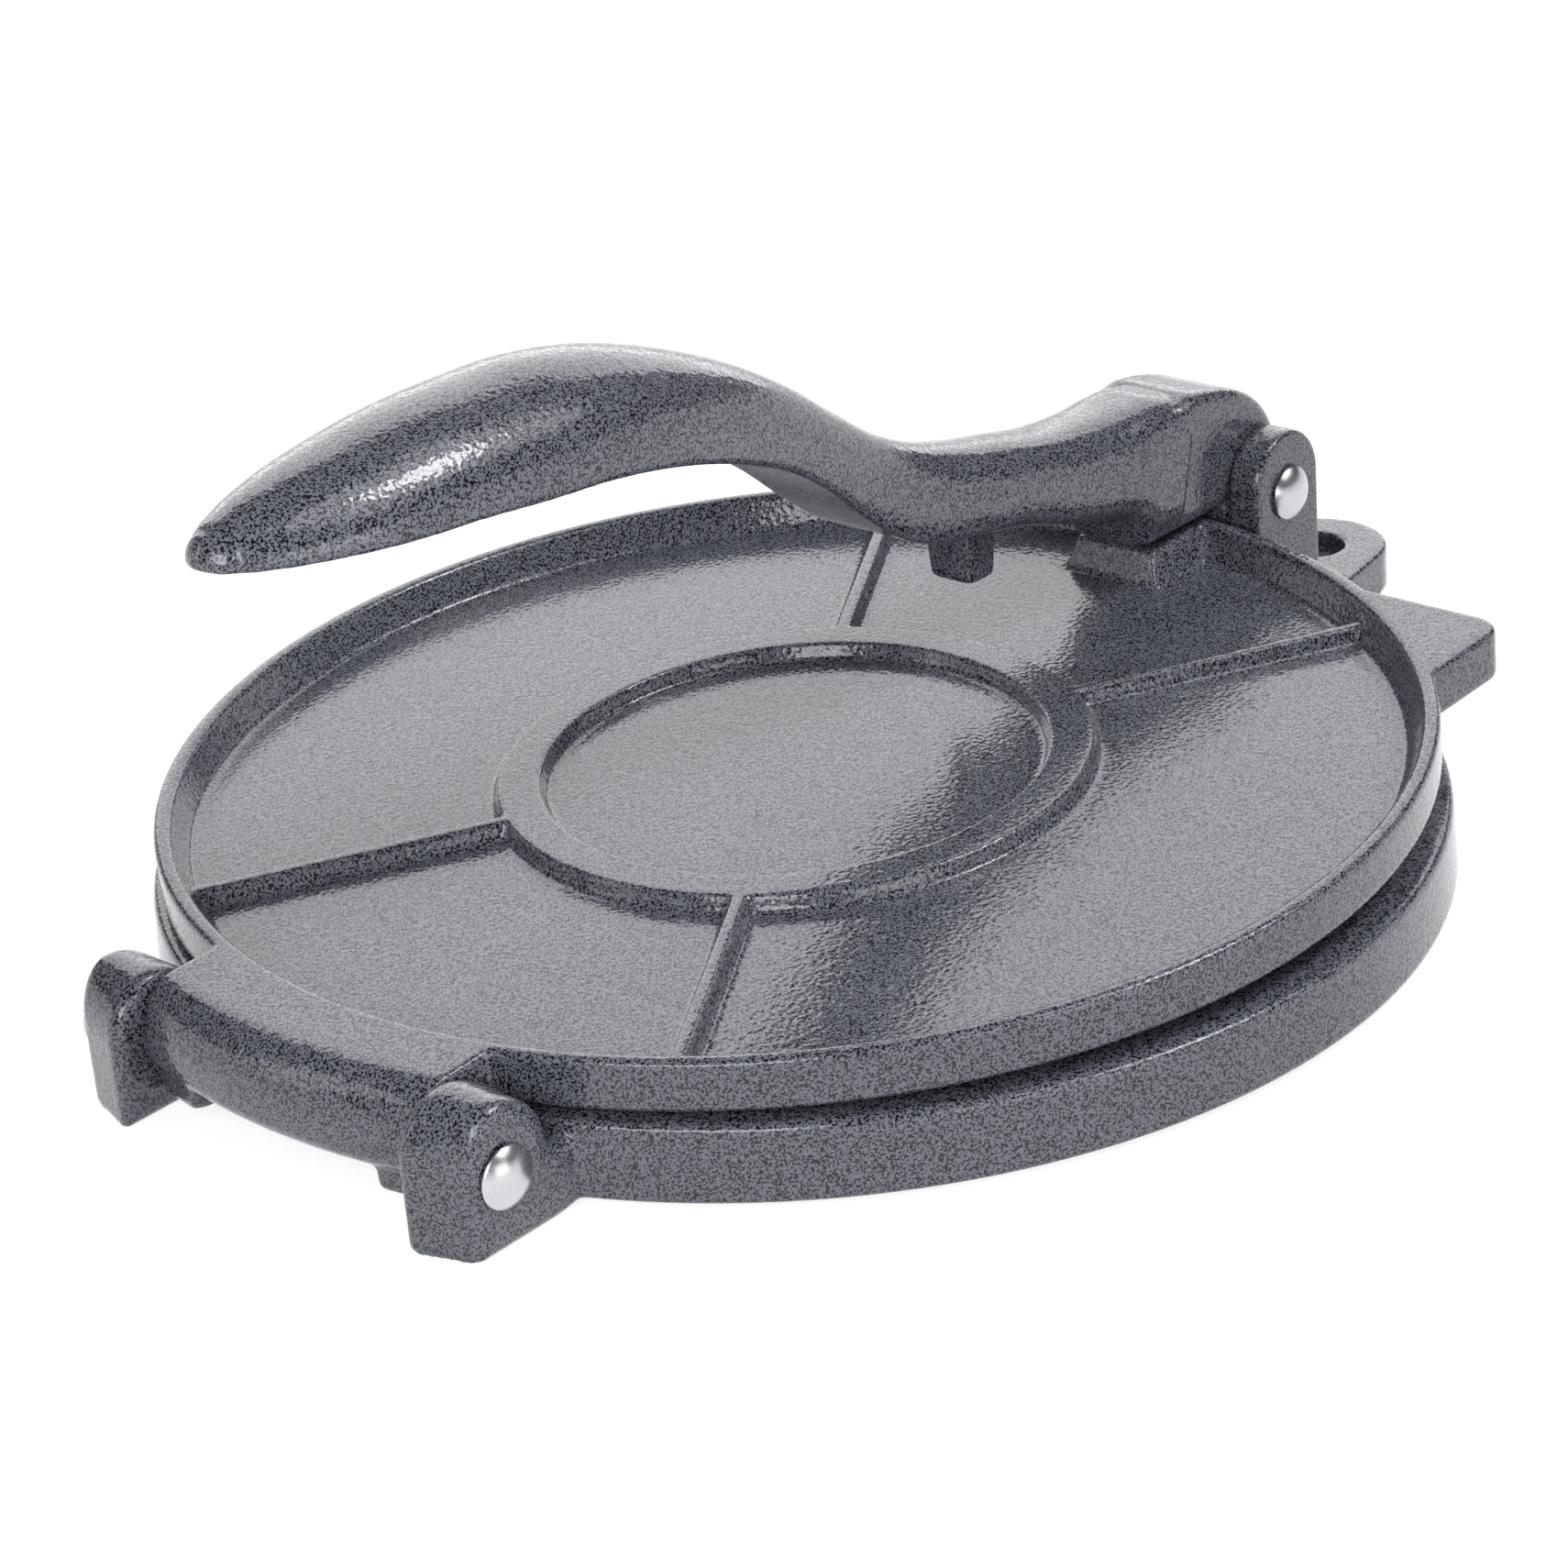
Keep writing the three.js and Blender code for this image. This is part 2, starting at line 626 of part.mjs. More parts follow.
const press = new THREE.Group();
press.name = "tortilla_press";
press.add(
  mesh("base", base(), casting),
  leaf,
  mesh("lever", lever(), casting),
  axle("hinge", HINGE_X, HINGE_Z, EAR_OUT),
  axle("lever", FULCRUM_X, FULCRUM_Z, TINE_OUT),
);

// The longest reach along X runs from the hinge ears' fronts to the end of the hanging loop.
press.position.x = -(LOOP_X + LOOP_R + HINGE_X - EAR_R) / 2;

export default press;
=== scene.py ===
import math

import bmesh
import bpy
from bpy.props import FloatProperty, FloatVectorProperty, PointerProperty
from bpy.types import Operator, Panel, PropertyGroup
from mathutils import Matrix, Vector


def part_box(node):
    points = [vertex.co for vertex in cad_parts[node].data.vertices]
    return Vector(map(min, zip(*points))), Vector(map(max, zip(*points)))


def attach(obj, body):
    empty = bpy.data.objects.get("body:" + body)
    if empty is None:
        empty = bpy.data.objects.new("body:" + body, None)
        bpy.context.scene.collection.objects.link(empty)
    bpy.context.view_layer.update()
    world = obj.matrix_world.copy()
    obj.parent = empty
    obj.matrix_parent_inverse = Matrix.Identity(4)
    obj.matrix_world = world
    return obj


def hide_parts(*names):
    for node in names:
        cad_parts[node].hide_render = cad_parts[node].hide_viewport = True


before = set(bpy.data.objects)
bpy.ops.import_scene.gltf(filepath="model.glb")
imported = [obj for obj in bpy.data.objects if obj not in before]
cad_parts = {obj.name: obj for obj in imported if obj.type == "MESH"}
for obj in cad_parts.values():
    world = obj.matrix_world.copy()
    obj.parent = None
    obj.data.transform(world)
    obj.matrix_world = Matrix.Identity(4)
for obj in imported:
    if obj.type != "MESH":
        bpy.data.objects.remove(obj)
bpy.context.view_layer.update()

bl_info = {
    "name": "Tortilla press",
    "version": (1, 0, 0),
    "blender": (4, 5, 0),
    "location": "3D View > Sidebar > Tortilla press",
    "description": "Castings, pin caps, finishes and studio of a cast-iron tortilla press",
    "category": "Object",
}

MM = 0.001

# Stations of the lever from the handle's tip to the block's rear. Each has the distance from
# the pin, the underside's height, the depth and the width as shares of the lever's reach, rise,
# depth and width, then the squareness of the crown (2 is an ellipse), the share of the lean,
# and the radius of the sole's edges as a multiple of the lever's corner.
LEVER_STATIONS = (
    (0.986, 0.992, 0.060, 0.060, 2.00, 0.0, 1.0),
    (0.983, 0.988, 0.120, 0.160, 2.00, 0.0, 1.0),
    (0.972, 0.982, 0.195, 0.320, 2.00, 0.0, 1.0),
    (0.950, 0.974, 0.280, 0.510, 2.00, 0.0, 1.0),
    (0.916, 0.964, 0.368, 0.700, 2.05, 0.0, 1.0),
    (0.866, 0.951, 0.456, 0.870, 2.10, 0.0, 1.0),
    (0.815, 0.942, 0.518, 0.955, 2.10, 0.0, 1.0),
    (0.759, 0.922, 0.573, 1.000, 2.10, 0.0, 1.0),
    (0.703, 0.901, 0.605, 0.995, 2.10, 0.0, 1.0),
    (0.650, 0.863, 0.612, 0.945, 2.10, 0.0, 1.0),
    (0.601, 0.811, 0.600, 0.865, 2.10, 0.0, 1.0),
    (0.559, 0.753, 0.587, 0.775, 2.15, 0.0, 1.0),
    (0.517, 0.681, 0.577, 0.690, 2.20, 0.0, 1.0),
    (0.476, 0.583, 0.588, 0.630, 2.20, 0.1, 1.0),
    (0.437, 0.465, 0.618, 0.600, 2.20, 0.2, 1.0),
    (0.399, 0.368, 0.606, 0.595, 2.25, 0.4, 1.0),
    (0.357, 0.307, 0.563, 0.595, 2.30, 0.6, 2.0),
    (0.315, 0.275, 0.515, 0.595, 2.40, 0.8, 3.2),
    (0.262, 0.235, 0.500, 0.605, 2.50, 1.0, 4.5),
    (0.210, 0.177, 0.545, 0.625, 2.60, 1.0, 5.0),
    (0.168, 0.1415, 0.592, 0.640, 2.80, 1.0, 5.0),
    (0.1434, 0.118, 0.637, 0.655, 3.10, 1.0, 5.5),
    (0.135, 0.0996, 0.680, 0.660, 3.30, 1.0, 6.5),
    (0.1224, 0.0197, 0.870, 0.665, 3.60, 1.0, 10.0),
    (0.1182, 0.000, 0.918, 0.667, 3.70, 1.0, 10.5),
    (0.1174, 0.000, 0.918, 0.667, 3.70, 1.0, 10.5),
    (0.0892, 0.000, 0.875, 0.670, 3.80, 1.0, 10.5),
)

# Each lamp's place and the point it is aimed at, and its width and height, in metres.
LAMPS = {
    "back": ((0.75, 0.75, 0.62), (0, 0, 0.03), 1.5, 0.9),
    "fill": ((0.47, -0.65, 1.07), (-0.08, 0, 0.06), 0.36, 0.3),
    "wash": ((0.4, -0.68, 1.12), (-0.08, 0, 0.06), 1.1, 0.9),
    "near": ((-0.5, -0.22, 0.26), (-0.15, -0.03, 0.02), 0.3, 0.24),
    "side": ((-0.47, 0.26, 0.24), (-0.15, -0.04, 0.03), 0.14, 0.26),
    "low": ((-0.15, -0.36, 0.1), (-0.12, -0.06, 0.02), 0.2, 0.12),
}

# The camera's place and the point it looks at, in millimetres, and how far the picture's middle
# lies off the lens axis, as shares of its width. All were solved from the photograph.
CAMERA_PLACE = (-573.62, -517.05, 373.03)
CAMERA_AIM = (-26.61, 0.53, 24.83)
CAMERA_SHIFT = (-0.00516, -0.011)


def length(name, description, millimetres):
    """A size in metres, given here in millimetres."""
    return FloatProperty(
        name=name, description=description, default=millimetres * MM, precision=5, unit="LENGTH"
    )


def angle(name, description, degrees):
    """An angle, given here in degrees."""
    return FloatProperty(
        name=name, description=description, default=math.radians(degrees), unit="ROTATION"
    )


def number(name, description, value):
    """A plain number that a user can change."""
    return FloatProperty(name=name, description=description, default=value)


def linear(code):
    """An sRGB hex colour as linear red, green and blue."""
    parts = [int(code[i : i + 2], 16) / 255 for i in (1, 3, 5)]
    return [c / 12.92 if c <= 0.04045 else ((c + 0.055) / 1.055) ** 2.4 for c in parts]


def colour(name, description, code):
    """A colour that a user can change, given as sRGB hex."""
    return FloatVectorProperty(
        name=name, description=description, default=linear(code), subtype="COLOR", min=0, max=1
    )


class PlateSizes(PropertyGroup):
    radius: length("Radius", "Radius of the top plate", 127)
    thick: length("Thickness", "Height of the top plate's wall", 10.4)
    web: length("Web", "Thickness under the top plate's recess", 2.9)
    gap: length("Gap", "Air between the shut plates", 0.5)
    rim: length("Rim", "Width of the rim's flat top", 3.2)
    rim_draft: length("Rim draft", "Lean of the rim's inner wall", 3.2)
    edge: length("Edge", "Rounding of the plate's outer edges", 0.9)
    open: angle("Open", "How far the plate stands open", 1.95)
    ring_radius: length("Ring radius", "Middle of the stiffening ring", 55.1)
    ring_width: length("Ring width", "Width of the ring's top", 8.4)
    rib_width: length("Rib width", "Width of a rib's top", 2.7)
    rib_angle: angle("Rib angle", "Angle of the ribs from the main axis", 31.3)
    stiff_draft: length("Draft", "Spread of ring and ribs down to their foot", 1.5)
    stiff_tall: length("Ring height", "Height of ring and ribs above the floor", 3.4)
    boss_long: length("Boss length", "From the plate's edge to the boss's front", 21.4)
    boss_width: length("Boss width", "Width of the boss's top", 20)
    boss_draft: length("Boss draft", "Spread of the boss down to its foot", 3)
    tab_angle: angle("Tab angle", "Direction of the lifting tab", -39.8)
    tab_reach: length("Tab reach", "How far the tab's corner stands out", 16.7)
    tab_round: length("Tab corner", "Radius of the tab's round corner", 7)
    tab_side: length("Tab side", "Length of the tab's sides", 42)


class BaseSizes(PropertyGroup):
    lip: length("Lip", "How far the base stands out past the top plate", 2)
    air: length("Air", "Height of the disc above the table", 1.3)
    thick: length("Thickness", "Height of the disc's wall", 15.3)
    draft: length("Draft", "Spread of the outer wall", 0.7)
    edge: length("Edge", "Rounding of the top edge", 1.3)
    web: length("Web", "Thickness of the pressing web", 4.2)
    rim: length("Rim", "Width of the rim underneath", 5.5)
    rim_draft: length("Rim draft", "Lean of the rim's inner wall", 2)
    stiff_tall: length("Rib height", "Height of ring and ribs under the web", 6.5)
    lug_lip: length("Lug lip", "How far the lug stands out past the fork", 1)
    lug_thick: length("Lug thickness", "Height of the lug and its loop", 10)
    lug_root: length("Lug root", "How far the lug reaches in under the disc", 14)
    loop_reach: length("Loop reach", "The hole's middle behind the lever pin", 37.5)
    loop_hole: length("Loop hole", "Radius of the hanging hole", 7)
    loop_wall: length("Loop wall", "Width of the loop round its hole", 9.5)


class HingeSizes(PropertyGroup):
    pin: length("Pin", "Radius of both pins", 4)
    play: length("Play", "Clearance round a pin where a casting turns on it", 0.08)
    seat: length("Seat", "Clearance round a pin in the base and the caps", 0.15)
    reach: length("Reach", "Hinge axis beyond the base's edge", 6.9)
    barrel_wall: length("Barrel wall", "Wall of the barrel round the pin", 4.1)
    knuckle_radius: length("Knuckle radius", "Radius of the knuckles at the bridge's ends", 10.4)
    knuckle_air: length("Knuckle air", "Clearance round the knuckles in the base", 0.8)
    ear_gap: length("Ear gap", "Between the ears' inner faces", 73.2)
    ear_width: length("Ear width", "Width of an ear", 15.3)
    ear_wall: length("Ear wall", "Wall of an ear round the pin", 7.5)
    ear_rise: length("Ear rise", "Round top's centre above the pin", 2)
    ear_toe: length("Ear toe", "Sweep of the foot up to the disc", 8)
    ear_shoulder: length("Ear shoulder", "Radius where the ear leaves its arm", 5)
    ear_step: length("Ear step", "Arm's top below the pressing face", 2.6)
    ear_arm: length("Ear arm", "Reach of the arm in from the base's edge", 24)
    ear_edge: length("Ear edge", "Rounding of the ears' edges", 2.4)
    ear_bow: length("Ear bow", "Radius of the ears' bowed fronts about the plate's middle", 152)
    bridge_air: length("Bridge air", "Between the bridge and each ear", 0.5)
    bridge_nose: length("Bridge nose", "How far back the bridge's front rolls over on top", 9)
    bridge_brow: length("Bridge brow", "How far down the bridge's front rolls over", 11.5)
    bridge_chin: length("Bridge chin", "Rounding of the bridge's front lower edge", 5)
    bridge_front: length("Bridge front", "Radius of its bowed front about the plate's middle", 145.4)
    bridge_low: length("Bridge underside", "Underside of the bridge below the pin's axis", 5.2)
    bridge_root: length("Bridge root", "Reach of the bridge in from the edge", 12)
    knuckle: length("Knuckle", "Width of the round knuckle at each end of the bridge", 12)
    knuckle_edge: length("Knuckle edge", "Rounding of the knuckles' edges", 1.5)
    knuckle_back: length("Knuckle set-back", "From the bridge's front back to a knuckle's front", 2)


class FulcrumSizes(PropertyGroup):
    tine_width: length("Tine width", "Width of a tine of the fork", 7.9)
    tine_wall: length("Tine wall", "Wall of a tine round the pin", 7.3)
    tine_rise: length("Tine rise", "Round top's centre above the pin", 2.4)
    tine_edge: length("Tine edge", "Rounding of the tines' edges", 1)
    hub_wall: length("Hub wall", "Wall of the lever's hub round the pin", 8.5)
    hub_width: length("Hub width", "Width of the hub between the tines", 24.4)
    hub_air: length("Hub air", "Between the hub and each tine", 0.4)
    hub_front: length("Hub front", "Where the hub starts inside the block", 38)
    hub_tall: length("Hub height", "Front top of the hub above the pin", 26.8)
    hub_step: length("Hub step", "Hub's underside above the block's sole", 1)
    hub_edge: length("Hub edge", "Rounding of the hub's edges", 3.4)


class LeverSizes(PropertyGroup):
    reach: length("Reach", "From the pin to the handle's tip", 286)
    rise: length("Rise", "Tip's underside above the block's sole", 81.3)
    depth: length("Depth", "Deepest section", 33.6)
    width: length("Width", "Widest section", 40)
    sole: length("Sole", "Height of the block's sole above the table", 36.91)
    corner: length("Corner", "Broken edge along the sole", 0.8)
    lean: angle("Lean", "Lean of the block's faces", 14)
    foot_reach: length("Foot reach", "Pressing foot's middle in front of the pin", 85.8)
    foot_rise: length("Foot rise", "Foot's sole above the block's sole", 9.7)
    foot_tall: length("Foot height", "From its sole to its root in the neck", 19.4)
    foot_long: length("Foot length", "Along the lever", 8.6)
    foot_width: length("Foot width", "Across the lever", 11.6)
    foot_spread: length("Foot spread", "Spread of each side up to the root", 1.35)
    foot_edge: length("Foot edge", "Broken edge round the foot's sole", 0.6)


class CapSizes(PropertyGroup):
    flange: length("Flange", "How far a cap stands out past the pin", 2)
    tall: length("Height", "Height of the dome", 3.1)
    lip: length("Lip", "Straight edge under the dome", 0.5)
    edge: length("Edge", "Broken edge round the underside", 0.2)
    socket: length("Socket", "Depth of the socket over the pin's end", 1.3)
    air: length("Air", "Between a cap and the face it covers", 0.3)


class CastFinish(PropertyGroup):
    flake: colour("Flake", "Blue-grey of the coat's flakes", "#757884")
    pool: colour("Pool", "Dark grey where the coat has drawn apart", "#101115")
    cell: length("Cell", "Spacing of the dark pools", 1.4)
    ripple: length("Ripple", "Spacing of the orange peel", 2)
    ripple_tall: length("Ripple height", "Height of the orange peel", 0.1)
    plate: colour("Plate", "Colour of the bright plate on pins and caps", "#c6c7ca")


class StudioSettings(PropertyGroup):
    focal: number("Focal length", "In millimetres on a 36 mm sensor", 95.8)
    roll: angle("Roll", "Roll of the camera about its line of sight", -4.81)
    sky: number("Sky", "Strength of the plain light from all round", 0.08)
    back: number("Back light", "Radiance of the soft light behind", 1.95)
    fill: number("Fill light", "Radiance of the soft light above", 14)
    wash: number("Wash light", "Radiance of the broad light above", 2.1)
    near: number("Near light", "Radiance of the soft light in front", 6.2)
    side: number("Side light", "Radiance of the soft light at the left", 1.8)
    low: number("Low light", "Radiance of the small light at the right", 2)
    floor: colour("Floor", "Colour of the floor and the backdrop", "#b0b0b2")
    glow: number("Floor glow", "How bright the floor is where it is seen", 0.82)
    wall: number("Backdrop glow", "How bright the backdrop is where it is seen", 0.95)
    wall_reach: length("Backdrop reach", "Radius of the round backdrop", 2200)
    wall_tall: length("Backdrop height", "Height of the round backdrop", 450)


def axis_of(node):
    """Where a pin that lies along Y crosses the press's middle plane."""
    low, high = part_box(node)
    return Vector(((low.x + high.x) / 2, 0, (low.z + high.z) / 2))


class Layout:
    """The pins' axes, read from the frame, and the places that follow from the sizes. The
    castings are drawn about the plates' middle, and moved along X to where it is in the frame."""

    def __init__(self, scene):
        self.hinge = axis_of("hinge_pin")
        self.fulcrum = axis_of("lever_pin")
        self.base_radius = scene.press_plate.radius + scene.press_base.lip
        self.middle = self.hinge.x + self.base_radius + scene.press_hinge.reach
        self.hinge_x = -self.base_radius - scene.press_hinge.reach
        self.fulcrum_x = self.fulcrum.x - self.middle
        self.top = scene.press_base.air + scene.press_base.thick
        self.plate_under = self.top + scene.press_plate.gap
        self.plate_top = self.plate_under + scene.press_plate.thick
        self.ear_in = scene.press_hinge.ear_gap / 2
        self.ear_out = self.ear_in + scene.press_hinge.ear_width
        self.tine_in = scene.press_fulcrum.hub_width / 2 + scene.press_fulcrum.hub_air
        self.tine_out = self.tine_in + scene.press_fulcrum.tine_width


def arc(x, y, radius, start, end, steps=32):
    """Points of an arc between two angles in degrees."""
    points = []
    for i in range(steps + 1):
        a = math.radians(start + (end - start) * i / steps)
        points.append((x + radius * math.cos(a), y + radius * math.sin(a)))
    return points


def circle(x, y, radius, count=96):
    """Points of a whole circle."""
    return arc(x, y, radius, 0, 360 * (count - 1) / count, count - 1)


def bend(start, pull, end, steps=16):
    """Points of a bend from start to end, drawn towards pull."""
    points = []
    for i in range(steps + 1):
        t = i / steps
        points.append(
            tuple(
                (1 - t) ** 2 * a + 2 * t * (1 - t) * b + t * t * c
                for a, b, c in zip(start, pull, end)
            )
        )
    return points


def finished(bm, name="part"):
    """The bmesh as a mesh, its faces turned outwards."""
    bmesh.ops.remove_doubles(bm, verts=bm.verts, dist=1e-6)
    bmesh.ops.recalc_face_normals(bm, faces=bm.faces)
    mesh = bpy.data.meshes.new(name)
    bm.to_mesh(mesh)
    bm.free()
    return mesh


def stacked(rings):
    """A closed skin over rings of as many points each."""
    bm = bmesh.new()
    rows = [[bm.verts.new(p) for p in ring] for ring in rings]
    count = len(rings[0])
    for low, high in zip(rows, rows[1:]):
        for i in range(count):
            j = (i + 1) % count
            bm.faces.new((low[i], low[j], high[j], high[i]))
    bm.faces.new(rows[0][::-1])
    bm.faces.new(rows[-1])
    return finished(bm)


def turned(outline, steps=360):
    """A solid of revolution about Z from a closed outline of (radius, height) points."""
    bm = bmesh.new()
    rows = []
    for r, z in outline:
        if r == 0:
            rows.append([bm.verts.new((0, 0, z))] * steps)
        else:
            rows.append(
                [
                    bm.verts.new((r * math.cos(a), r * math.sin(a), z))
                    for a in (2 * math.pi * i / steps for i in range(steps))
                ]
            )
    for one, two in zip(rows, rows[1:] + rows[:1]):
        for i in range(steps):
            j = (i + 1) % steps
            corners = []
            for v in (one[i], one[j], two[j], two[i]):
                if v not in corners:
                    corners.append(v)
            if len(corners) > 2:
                bm.faces.new(corners)
    return finished(bm)


def drawn_in(outline, distance):
    """A closed outline drawn in by a distance all round, with its corners kept sharp."""
    points = [Vector(p) for p in outline]
    points = [p for p, q in zip(points, points[1:] + points[:1]) if (p - q).length > 1e-6]
    ahead = [(q - p).normalized() for p, q in zip(points, points[1:] + points[:1])]
    area = sum(p.cross(q) for p, q in zip(points, points[1:] + points[:1]))
    side = math.copysign(distance, area)
    moved = []
    for point, before, after in zip(points, ahead[-1:] + ahead[:-1], ahead):
        inward = Vector((-before.y - after.y, before.x + after.x)).normalized()
        # A sharp corner moves by twice the distance at most.
        share = max(inward.dot(Vector((-after.y, after.x))), 0.5)
        moved.append(tuple(point + inward * side / share))
    return moved


def levels(low, high, edge, steps=5):
    """Height and inset of the rings that round both ends of a pushed outline."""
    if edge == 0:
        return [(low, 0), (high, 0)]
    rows = []
    for i in range(steps + 1):
        a = math.pi / 2 * i / steps
        rows.append((low + edge * (1 - math.sin(a)), edge * (1 - math.cos(a))))
    return rows[::-1] + [(low + high - z, inset) for z, inset in rows]


def pushed(outline, low, high, edge=0):
    """An outline in the XY plane, pushed from one height to another, with rounded edges."""
    return stacked(
        [[(x, y, z) for x, y in drawn_in(outline, inset)] for z, inset in levels(low, high, edge)]
    )


def slab(outline, near, far, edge=0):
    """An outline in the XZ plane, pushed from one place along Y to another, with rounded edges."""
    return stacked(
        [[(x, y, z) for x, z in drawn_in(outline, inset)] for y, inset in levels(near, far, edge)]
    )


def bar(x, z, radius, near, far, edge=0):
    """A round bar along Y."""
    return slab(circle(x, z, radius), near, far, edge)


def block(foot, top):
    """A block with a rectangle at its foot and at its top: (x0, x1, half width, z) for each."""
    return stacked(
        [[(x0, -w, z), (x1, -w, z), (x1, w, z), (x0, w, z)] for x0, x1, w, z in (foot, top)]
    )


def worked(mesh, *steps):
    """The mesh after a row of modifiers, each given as its type and its settings."""
    obj = bpy.data.objects.new("work", mesh)
    bpy.context.scene.collection.objects.link(obj)
    for kind, settings in steps:
        step = obj.modifiers.new(kind, kind)
        for name, value in settings.items():
            setattr(step, name, value)
    depsgraph = bpy.context.evaluated_depsgraph_get()
    made = bpy.data.meshes.new_from_object(obj.evaluated_get(depsgraph))
    bpy.data.objects.remove(obj)
    return made


def cut(mesh, *cutters, solver="EXACT"):
    """The mesh with the cutters taken away from it."""
    for cutter in cutters:
        tool = bpy.data.objects.new("cutter", cutter)
        bpy.context.scene.collection.objects.link(tool)
        step = {"operation": "DIFFERENCE", "solver": solver, "object": tool}
        mesh = worked(mesh, ("BOOLEAN", step))
        bpy.data.objects.remove(tool)
    return mesh


def cast(parts, grain, passes, keep=0.3):
    """Closed parts run together as in a mould, with soft edges and a fillet in each corner.
    The grain is the size of the voxels, and each pass softens the edges a little more. Only
    the given share of the faces is kept, most of them where the casting is curved."""
    bm = bmesh.new()
    for part in parts:
        bm.from_mesh(part)
    mesh = bpy.data.meshes.new("cast")
    bm.to_mesh(mesh)
    bm.free()
    return worked(
        mesh,
        ("REMESH", {"mode": "VOXEL", "voxel_size": grain}),
        ("SMOOTH", {"factor": 0.5, "iterations": passes}),
        ("DECIMATE", {"decimate_type": "COLLAPSE", "ratio": keep}),
    )


def piece(name, mesh, body, material, node):
    """A finished piece that rides on a body and stands for its CAD node."""
    mesh.name = name
    mesh.materials.clear()
    mesh.materials.append(material)
    mesh.shade_smooth()
    obj = bpy.data.objects.new(name, mesh)
    bpy.context.scene.collection.objects.link(obj)
    normals = obj.modifiers.new("Even normals", "WEIGHTED_NORMAL")
    normals.keep_sharp = True
    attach(obj, body)
    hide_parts(node)


def stiffeners(plate, foot, top, reach):
    """The stiffening ring and its four ribs, from their foot in the web to their top. Like
    all parts of a casting they reach into what they stand on, so that they run together."""
    half = plate.ring_width / 2
    middle = plate.ring_radius
    spread = plate.stiff_draft
    parts = [
        turned(
            [
                (middle - half - spread, foot),
                (middle + half + spread, foot),
                (middle + half, top),
                (middle - half, top),
            ]
        )
    ]
    for heading in (plate.rib_angle, math.pi - plate.rib_angle):
        for side in (1, -1):
            rib = block(
                (middle, reach, plate.rib_width / 2 + spread, foot),
                (middle, reach, plate.rib_width / 2, top),
            )
            rib.transform(Matrix.Rotation(side * heading, 4, "Z"))
            parts.append(rib)
    return parts


def hammertone(name, finish):
    """Hammertone powder coat: a flake paint sprayed on the casting and baked, which draws
    apart into dark pools and sets under a clear skin. The eye sees blue-grey paint with small
    dark pools, and soft reflections that break up on the skin's orange peel."""
    material = bpy.data.materials.new(name)
    material.use_nodes = True
    tree = material.node_tree
    tree.nodes.clear()
    place = add_node(tree, "ShaderNodeTexCoord").outputs["Object"]
    # Pools and worms about 1.4 mm apart. The noise has three lumps to that spacing, since a
    # pool and the flakes round it take up more than one, and the distortion frays them. Below
    # 0.445 the noise is pool and above 0.515 it is flake, with a soft edge between.
    pools = add_node(
        tree,
        "ShaderNodeTexNoise",
        {
            "Vector": place,
            "Scale": 3 / finish.cell,
            "Detail": 1.5,
            "Roughness": 0.55,
            "Distortion": 0.6,
        },
    )
    amount = add_node(
        tree,
        "ShaderNodeMapRange",
        {"Value": pools.outputs["Fac"], "From Min": 0.445, "From Max": 0.515},
        interpolation_type="SMOOTHSTEP",
    )
    tone = add_node(
        tree,
        "ShaderNodeMix",
        {0: amount.outputs["Result"], 6: (*finish.pool, 1), 7: (*finish.flake, 1)},
        data_type="RGBA",
    )
    dullness = add_node(
        tree,
        "ShaderNodeMapRange",
        {"Value": amount.outputs["Result"], "To Min": 0.55, "To Max": 0.36},
    )
    # Orange peel of the baked skin, 2 mm from crest to crest and 0.1 mm deep. The noise has
    # 1.8 lumps to that spacing.
    peel = add_node(
        tree, "ShaderNodeTexNoise", {"Vector": place, "Scale": 1.8 / finish.ripple, "Detail": 0.5}
    )
    skin = add_node(
        tree,
        "ShaderNodeBump",
        {"Height": peel.outputs["Fac"], "Distance": finish.ripple_tall},
    )
    shader = add_node(
        tree,
        "ShaderNodeBsdfPrincipled",
        {
            "Base Color": tone.outputs[2],
            "Metallic": 0.05,
            "Specular IOR Level": 0.05,
            "Roughness": dullness.outputs["Result"],
            "Coat Weight": 1.0,
            "Coat Roughness": 0.08,
            "Coat IOR": 1.5,
            "Normal": skin.outputs["Normal"],
            "Coat Normal": skin.outputs["Normal"],
        },
    )
    add_node(tree, "ShaderNodeOutputMaterial", {"Surface": shader.outputs["BSDF"]})
    return material


def nickel_plate(name, finish):
    """Bright nickel plate: steel, turned and barrel polished before it is plated. The eye sees
    a clean mirror with the faint haze of fine rubbing marks."""
    material = bpy.data.materials.new(name)
    material.use_nodes = True
    tree = material.node_tree
    tree.nodes.clear()
    place = add_node(tree, "ShaderNodeTexCoord").outputs["Object"]
    # Rubbing marks about 0.4 mm apart.
    marks = add_node(
        tree, "ShaderNodeTexNoise", {"Vector": place, "Scale": 1 / (0.4 * MM), "Detail": 3.0}
    )
    haze = add_node(
        tree, "ShaderNodeMapRange", {"Value": marks.outputs["Fac"], "To Min": 0.2, "To Max": 0.34}
    )
    shader = add_node(
        tree,
        "ShaderNodeBsdfPrincipled",
        {"Base Color": (*finish.plate, 1), "Metallic": 1.0, "Roughness": haze.outputs["Result"]},
    )
    add_node(tree, "ShaderNodeOutputMaterial", {"Surface": shader.outputs["BSDF"]})
    return material


def add_node(tree, kind, inputs=None, **settings):
    """A node with its settings; an input is a value, or the socket that it is linked to."""
    node = tree.nodes.new(kind)
    for name, value in settings.items():
        setattr(node, name, value)
    for name, value in (inputs or {}).items():
        if isinstance(value, bpy.types.NodeSocket):
            tree.links.new(value, node.inputs[name])
        else:
            node.inputs[name].default_value = value
    return node


